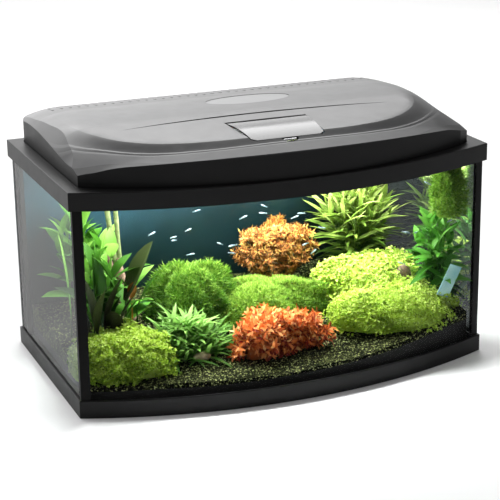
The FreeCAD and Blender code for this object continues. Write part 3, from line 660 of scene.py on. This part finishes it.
def leafy_stem(bunch, blade, stalk, root, lean, height, step, rng, droop):
    """One upright stem with pairs of leaves up its length, crowded towards its tip."""
    steps = max(3, int(height / step))
    turn = rng.uniform(0, FULL_TURN)
    way = lean.normalized()
    bunch.add(stalk, at(root, lean) @ Matrix.Diagonal((1, 1, height / (100 * MM), 1)))
    for index in range(steps):
        share = ((index + 1) / steps) ** 0.8
        turn += 1.57 + rng.uniform(-0.4, 0.4)
        grow = 0.7 + 0.45 * math.sin(math.pi * min(1, share * 0.85))
        pitch = droop + (1.25 - droop) * share ** 3
        for side in (0, math.pi):
            bunch.add(blade, at(root + way * height * share, lean)
                      @ laid(turn + side, pitch + rng.uniform(-0.25, 0.25))
                      @ Matrix.Scale(grow * rng.uniform(0.75, 1.1), 4))


def stems(node, name, finish, count, seed, blade, step, fan, droop, grow=(1, 1, 1)):
    """Group of leafy stems that fans out of a clump's foot."""
    bunch = Bunch()
    stalk = stem_mesh(100 * MM, 1.1 * MM)
    rng = random.Random(seed)
    centre, size = middle(node), (high(node) - low(node)) / 2
    base, tall = low(node).z, 2 * size.z * grow[2]
    for index in range(count):
        turn = index * GOLDEN
        ring = math.sqrt((index + 0.5) / count)
        out = Vector((math.cos(turn) * size.x * grow[0], math.sin(turn) * size.y * grow[1], 0)) * ring
        root = Vector((centre.x, centre.y, base)) + out * (0.72 - fan)
        height = tall * math.sqrt(1 - 0.7 * ring * ring) * rng.uniform(0.7, 0.93)
        lean = out * fan + Vector((0, 0, height))
        leafy_stem(bunch, blade, stalk, root, lean, height, step, rng, droop)
    return bunch.piece(name, finish, node)


def rosettes(node, name, finish, count, seed, blade, leaves, grow):
    """Plants whose leaves rise from the ground in a fan."""
    bunch = Bunch()
    rng = random.Random(seed)
    centre, size = middle(node), (high(node) - low(node)) / 2
    for index in range(count):
        turn = index * GOLDEN
        ring = 0.92 * grow * math.sqrt((index + 0.5) / count)
        lift = 1.05 * size.z * max(0, 1 - ring)
        root = Vector((centre.x + size.x * ring * math.cos(turn),
                       centre.y + size.y * ring * math.sin(turn), low(node).z + lift))
        for number in range(leaves):
            bunch.add(blade, Matrix.Translation(root)
                      @ laid(number * GOLDEN + turn, rng.uniform(0.35, 1.3))
                      @ Matrix.Scale(rng.uniform(0.6, 1.05), 4))
    return bunch.piece(name, finish, node)


def single_leaves(name, finish, leaves):
    """Large leaves placed one by one: (root, tip, width, curl) in millimetres."""
    bunch = Bunch()
    for index, (root, tip, width, curl) in enumerate(leaves):
        root, tip = Vector(root) * MM, Vector(tip) * MM
        way = tip - root
        blade = leaf_mesh("single", way.length, width * MM, curl, 4, 8, 0.3, 1.1)
        flat = Vector((way.x, way.y, 0)).length
        spin = math.atan2(-way.x, way.y) if flat > 1e-6 else 0
        pitch = math.atan2(way.z, flat) + curl * 0.8
        twist = Matrix.Rotation(((index * 0.618) % 1 - 0.5) * 1.1, 4, "Y")
        foot = 55 * MM
        if root.z > 75 * MM:
            bunch.add(stem_mesh(root.z - foot, 1.6 * MM),
                      Matrix.Translation((root.x, root.y, foot)))
        bunch.add(blade, Matrix.Translation(root) @ laid(spin, pitch) @ twist)
    return bunch.piece(name, finish)


def height_of(*names):
    """Lowest foot and highest top of some clumps."""
    return min(low(n).z for n in names), max(high(n).z for n in names)


def plant_tank():
    """All the planting: each clump's node gives its place, and its leaves replace it."""
    lime = leaf("carpet_leaf", (0.14, 0.25, 0.012), (0.44, 0.62, 0.06), (0.80, 0.92, 0.30),
                *height_of("carpet_front_left", "carpet_front_right"))
    fine = leaf("moss_leaf", (0.012, 0.05, 0.004), (0.08, 0.22, 0.015), (0.28, 0.46, 0.06),
                *height_of("moss_left"))
    pale = leaf("pale_moss_leaf", (0.03, 0.09, 0.006), (0.18, 0.36, 0.03), (0.48, 0.64, 0.12),
                *height_of("moss_centre"))
    red = leaf("red_leaf", (0.24, 0.022, 0.010), (0.88, 0.25, 0.05), (1.0, 0.72, 0.28),
               *height_of("red_bush"), spread=0.42)
    orange = leaf("orange_leaf", (0.05, 0.04, 0.008), (0.50, 0.17, 0.04), (0.90, 0.62, 0.16),
                  *height_of("orange_bush"), spread=0.42)
    broad = leaf("broad_leaf", (0.015, 0.06, 0.006), (0.09, 0.28, 0.025), (0.30, 0.54, 0.10),
                 *height_of("broadleaf_left", "broadleaf_back_left"))
    dark = leaf("dark_leaf", (0.006, 0.006, 0.003), (0.02, 0.028, 0.01), (0.06, 0.085, 0.02),
                *height_of("broadleaf_left"))
    fern = leaf("fern_leaf", (0.01, 0.05, 0.006), (0.07, 0.26, 0.025), (0.20, 0.48, 0.08),
                *height_of("broadleaf_right"))
    lance = leaf("lance_leaf", (0.05, 0.14, 0.015), (0.22, 0.44, 0.08), (0.55, 0.76, 0.30),
                 *height_of("lance_plants"))
    tall = leaf("stem_leaf", (0.05, 0.12, 0.012), (0.26, 0.40, 0.06), (0.66, 0.76, 0.26),
                *height_of("tall_stems"))
    carpet("carpet_front_left", "carpet_left_plants", lime, 4850, 1, (1.3, 1.8, 0.86), (-8, 18))
    carpet("carpet_front_right", "carpet_front_plants", lime, 4800, 2, (1.2, 1.45, 0.92), (-3, -7))
    carpet("carpet_right", "carpet_right_plants", lime, 4900, 3, (1.38, 1.9, 1), (-14, 4))
    moss("moss_left", "moss_left_plants", fine, 3600, 4, 12 * MM, (1.3, 1.3, 1.1), (6, -10))
    moss("moss_centre", "moss_centre_plants", pale, 4200, 5, 9 * MM, (1.6, 1.7, 0.95), (28, 22))
    petal = leaf_mesh("petal", 11 * MM, 3.8 * MM, 0.2, 2, 3)
    bush("red_bush", "red_plants", red, 780, 6, petal, 10, 13 * MM, (1.16, 1.15, 1.02))
    star = leaf_mesh("star", 8 * MM, 2.4 * MM, 0.3, 2, 2)
    bush("orange_bush", "orange_plants", orange, 1300, 7, star, 11, 8 * MM, (1.15, 1, 1.08), (4, 0),
         0.34, 0.3)
    sword = leaf_mesh("sword", 54 * MM, 6.6 * MM, 0.25, 2, 5, 0.35, 0.9)
    stems("tall_stems", "tall_plants", tall, 30, 8, sword, 14 * MM, 0.7, 0.5, (1.35, 1.1, 1.1))
    oval = leaf_mesh("oval", 36 * MM, 12 * MM, 0.4, 2, 5, 0.3, 0.9)
    stems("broadleaf_right", "right_plants", fern, 17, 9, oval, 19 * MM, 0.5, 0.2, (1.1, 1.25, 1))
    paddle = leaf_mesh("paddle", 52 * MM, 21 * MM, 0.35, 4, 5, 0.25, 1.1)
    stems("broadleaf_left", "left_plants", broad, 6, 10, paddle, 40 * MM, 0.3, 0.75)
    stems("broadleaf_back_left", "back_left_plants", broad, 9, 11, paddle, 38 * MM, 0.4, 0.8)
    slip = leaf_mesh("slip", 44 * MM, 6.8 * MM, 0.45, 2, 5, 0.3, 0.9)
    rosettes("lance_plants", "lance_leaves", lance, 52, 12, slip, 12, grow=1.35)
    single_leaves("dark_leaves", dark, DARK_LEAVES)
    single_leaves("left_blades", broad, LEFT_BLADES)
    single_leaves("orange_leaf", orange, ORANGE_LEAF)
    moss("moss_high", "moss_high_plants", fine, 1300, 13, 10 * MM)


# ---- fish, stones and wood --------------------------------------------------

def fish_mesh():
    """Small slender fish along +X: a tapering body and a flat tail."""
    bm = bmesh.new()
    bmesh.ops.create_uvsphere(bm, u_segments=8, v_segments=6, radius=0.5)
    for vert in bm.verts:
        taper = 1 - 0.35 * (0.5 - vert.co.x)
        vert.co = (vert.co.x, vert.co.y * 0.16 * taper, vert.co.z * 0.30 * taper)
    bmesh.ops.create_circle(bm, cap_ends=True, segments=3, radius=0.16,
                            matrix=Matrix.Translation((-0.58, 0, 0)) @ Matrix.Rotation(math.pi / 2, 4, "X"))
    return as_mesh(bm, "fish")


def fish_school(finish):
    """Small fish in the open water over the plants."""
    bunch = Bunch()
    shape = fish_mesh()
    rng = random.Random(21)
    for place_mm in FISH:
        turn = rng.choice((0, math.pi)) + rng.uniform(-0.5, 0.5)
        pose = Euler((0, rng.uniform(-0.5, 0.3), turn)).to_matrix().to_4x4()
        bunch.add(shape, Matrix.Translation(Vector(place_mm) * MM) @ pose
                  @ Matrix.Scale(rng.uniform(9, 13) * MM, 4))
    bunch.piece("fish_school", finish)


def tube(bunch, points, radii):
    """Round stem through points, in millimetres, with its own radius at each."""
    curve = bpy.data.curves.new("tube", "CURVE")
    curve.dimensions = "3D"
    curve.bevel_depth = MM
    curve.bevel_resolution = 4
    curve.use_fill_caps = True
    line = curve.splines.new("POLY")
    line.points.add(len(points) - 1)
    for point, where, radius in zip(line.points, points, radii):
        point.co = (*(Vector(where) * MM), 1)
        point.radius = radius
    item = bpy.data.objects.new("tube", curve)
    bunch.add(bpy.data.meshes.new_from_object(item), Matrix.Identity(4))
    bpy.data.objects.remove(item)


def sword_stalks():
    """Two tall smooth stalks that rise out of a stub of wood at the back left."""
    green = rough_stone("stalk_skin", (0.12, 0.17, 0.05), (0.34, 0.40, 0.17))
    stalks = Bunch()
    tube(stalks, [(-184, 62, 140), (-189, 64, 180), (-193, 66, 222), (-196, 68, 268)],
         [3.4, 3.6, 3.8, 4.0])
    tube(stalks, [(-178, 61, 140), (-180, 63, 180), (-181, 65, 222), (-182, 67, 266)],
         [3.2, 3.2, 3.4, 3.4])
    stalks.piece("tall_stalks", green)
    bark = rough_stone("driftwood_bark", (0.10, 0.06, 0.04), (0.36, 0.24, 0.17))
    stub = Bunch()
    tube(stub, [(-166, 62, 56), (-172, 60, 82), (-177, 60, 108), (-181, 61, 132), (-181, 62, 150)],
         [9, 8, 8.4, 7, 4.5])
    tube(stub, [(-177, 60, 112), (-188, 62, 130), (-194, 63, 150), (-196, 64, 158)],
         [5, 4.5, 3, 1])
    stub.piece("driftwood_stub", bark, "driftwood")


def vent_shade_sheet(finish):
    """Dark sheet under the hood's row of vent slots, 4.2 mm below the dome and its back slope: painted
    shade that keeps the slots dark inside.
    """
    bm = bmesh.new()
    # Painted shade: a black sheet where the slots show only shade inside the hood.
    bmesh.ops.create_grid(bm, x_segments=50, y_segments=8, size=0.5)
    far = high("hood_cover").y
    for vert in bm.verts:
        x = vert.co.x * SHADE_SHEET_WIDE
        y = far - (24.5 - 23 * (vert.co.y + 0.5)) * MM
        behind = far - y
        dome = 51 * MM - max(0.085 * (58 * MM - behind), 0.16 * (28 * MM - behind) + 4 * MM)
        edge = 9 * MM * (max(0, abs(x) - 225 * MM) / (47 * MM)) ** 2
        vert.co = (x, y, RIM + min(dome - edge, 34 * MM + 1.1 * behind) - 4.2 * MM)
    item = show("vent_shade_sheet", as_mesh(bm, "vent_shade_sheet", finish))
    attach(item, "hood")
    sheet = item.modifiers.new("sheet", "SOLIDIFY")
    sheet.thickness = 0.4 * MM


def painted_vent_shade(finish):
    """Dark bars over the upper ends of the vent slots, run on over the crest of the hood: painted shade
    laid on the surface where the slots are dark inside.
    """
    bpy.context.view_layer.update()
    cover = nodes["hood_cover"]
    far = high("hood_cover").y
    bunch = Bunch()
    cube = bmesh.new()
    bmesh.ops.create_cube(cube, size=1)
    bar = as_mesh(cube, "vent_shade_bar")
    for index in range(SLOT_COUNT):
        x = (index - (SLOT_COUNT - 1) / 2) * SLOT_PITCH
        front, rear = (cover.ray_cast(Vector((x, y, 1)), Vector((0, 0, -1)))[1]
                       for y in (far - 45 * MM, far - 20 * MM))
        along = rear - front
        slope = along.to_track_quat("Y", "Z").to_matrix().to_4x4()
        # Painted shade: each thin black bar lies on the cover along one slot's opening.
        bunch.add(bar, Matrix.Translation((front + rear) / 2) @ slope
                  @ Matrix.Diagonal((3 * MM, along.length, 0.7 * MM, 1)))
    mesh = bunch.mesh("painted_vent_shade")
    mesh.materials.append(finish)
    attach(show("painted_vent_shade", mesh), "hood")


def glass_slip():
    """Pale blue slip of glass that leans in the carpet at the right."""
    made, tree = material("blue_slip")
    tint = ramp(tree, noise(tree, 40), (0.3, (0.30, 0.62, 0.66)), (0.7, (0.55, 0.80, 0.82)))
    body = put(tree, "ShaderNodeBsdfPrincipled", Roughness=0.25)
    link(tree, tint, body.inputs["Base Color"])
    clear = put(tree, "ShaderNodeBsdfTransparent")
    surface(tree, blend(tree, 0.45, body.outputs[0], clear.outputs[0]))
    bm = bmesh.new()
    lean = Euler((0.1, 0.42, 0.1)).to_matrix().to_4x4()
    bmesh.ops.create_cube(bm, size=MM, matrix=Matrix.Translation(Vector((252, -112, 108)) * MM) @ lean
                          @ Matrix.Diagonal((21, 1.6, 48, 1)))
    item = tank_piece("blue_slip", as_mesh(bm, "blue_slip", made))
    edge = item.modifiers.new("edge", "BEVEL")
    edge.width = 0.4 * MM


def stone(node, name, finish, seed):
    """Weathered stone: a ball with flats knocked off it, as large as the stone's node."""
    bm = bmesh.new()
    bmesh.ops.create_icosphere(bm, subdivisions=3, radius=1)
    rng = random.Random(seed)
    shifts = [Vector([rng.uniform(-1, 1) for _ in range(3)]).normalized() for _ in range(9)]
    centre, size = middle(node), (high(node) - low(node)) / 2
    for vert in bm.verts:
        flat = min(1.0, min(1.05 / max(0.3, vert.co.dot(s)) for s in shifts))
        co = vert.co * flat * 0.98
        vert.co = (centre.x + co.x * size.x, centre.y + co.y * size.y, centre.z + co.z * size.z)
    mesh = as_mesh(bm, name, finish)
    mesh.shade_smooth()
    tank_piece(name, mesh, node)


# ---- studio -----------------------------------------------------------------

def studio_floor():
    """White paper just under the tank."""
    made, tree = material("floor_paper")
    shader = put(tree, "ShaderNodeBsdfPrincipled", Roughness=0.9)
    link(tree, ramp(tree, noise(tree, 2), (0.2, (0.93, 0.93, 0.93)), (0.8, (0.95, 0.95, 0.95))),
         shader.inputs["Base Color"])
    surface(tree, shader.outputs[0])
    bm = bmesh.new()
    bmesh.ops.create_grid(bm, x_segments=1, y_segments=1, size=6,
                          matrix=Matrix.Translation((0, 0, low("bottom_frame").z - 0.5 * MM)))
    show("studio_floor", as_mesh(bm, "studio_floor", made))


def studio_lights():
    """Soft lights: place, what they face, width, height and watts; the last is the hood's tube."""
    area_light("key", (-1.9, 1.1, 2.5), (0, 0, 0.25), 1.8, 1.8, 20)
    area_light("front", (0.8, -2.6, 2.2), (0, 0, 0.15), 2.0, 1.2, 3)
    area_light("back", (0.3, 2.6, 2.2), (0, 0.9, 0.0), 3.4, 1.6, 62)
    area_light("overhead", (0.6, 0.5, 2.6), (0.1, 0, 0.3), 1.8, 1.4, 10)
    area_light("left", (-2.6, 0.5, 0.9), (0, 0, 0.3), 1.4, 1.2, 9)
    tube_place = middle("lamp_tube")
    lamp = area_light("hood_lamp", (0, tube_place.y - 0.02, low("lamp_lens").z - 0.003),
                      (0, tube_place.y - 0.06, 0), 0.46, 0.16, 6.8)
    lamp.visible_camera = False
    lamp.visible_glossy = False


def studio_sky():
    """Studio walls: bright behind the tank, dim in front of it and overhead."""
    world = bpy.data.worlds.new("studio")
    bpy.context.scene.world = world
    world.use_nodes = True
    tree = world.node_tree
    back = tree.nodes["Background"]
    split = put(tree, "ShaderNodeSeparateXYZ")
    link(tree, put(tree, "ShaderNodeTexCoord").outputs["Generated"], split.inputs[0])
    behind = span(tree, split.outputs["Y"], 0.40, 0.92, 0, 1)
    leftward = span(tree, split.outputs["X"], 0.60, 0.05, 0.7, 2.2)
    total = calc(tree, "ADD", calc(tree, "MULTIPLY", behind, leftward), 0.24)
    link(tree, total, back.inputs["Strength"])
    back.inputs["Color"].default_value = (1, 1, 1, 1)


def area_light(name, where, target, wide, tall, watts):
    """A rectangular light at a place, facing a target."""
    data = bpy.data.lights.new(name, "AREA")
    data.shape = "RECTANGLE"
    data.size, data.size_y, data.energy = wide, tall, watts
    item = show(name, data)
    item.location = where
    item.rotation_euler = (Vector(target) - Vector(where)).to_track_quat("-Z", "Y").to_euler()
    return item


def camera():
    """Long lens, a little above the rim, off the tank's left front."""
    target = Vector((0.00687, 0.031, 0.14508))
    where = Vector((-0.80508, -1.97545, 0.84161))
    roll = -0.015
    data = bpy.data.cameras.new("camera")
    data.lens = 114.36
    data.sensor_width = 36
    item = show("camera", data)
    turn = (target - where).to_track_quat("-Z", "Y").to_matrix() @ Matrix.Rotation(roll, 3, "Z")
    item.matrix_world = Matrix.Translation(where) @ turn.to_4x4()
    bpy.context.scene.camera = item
    bpy.context.scene.view_settings.view_transform = "Standard"


camera()
studio_floor()
studio_sky()
studio_lights()
dress_frame()
plant_tank()
fish_school(fish_skin())
stone("stone_right", "brown_stone", rough_stone("brown_stone", (0.05, 0.035, 0.02), (0.22, 0.16, 0.1)), 3)
stone("stone_left", "tan_stone", rough_stone("tan_stone", (0.2, 0.15, 0.08), (0.5, 0.4, 0.26)), 4)
sword_stalks()
glass_slip()
vent_shade_sheet(nodes["ballast_box"].data.materials[0])
painted_vent_shade(nodes["bead_front_left"].data.materials[0])
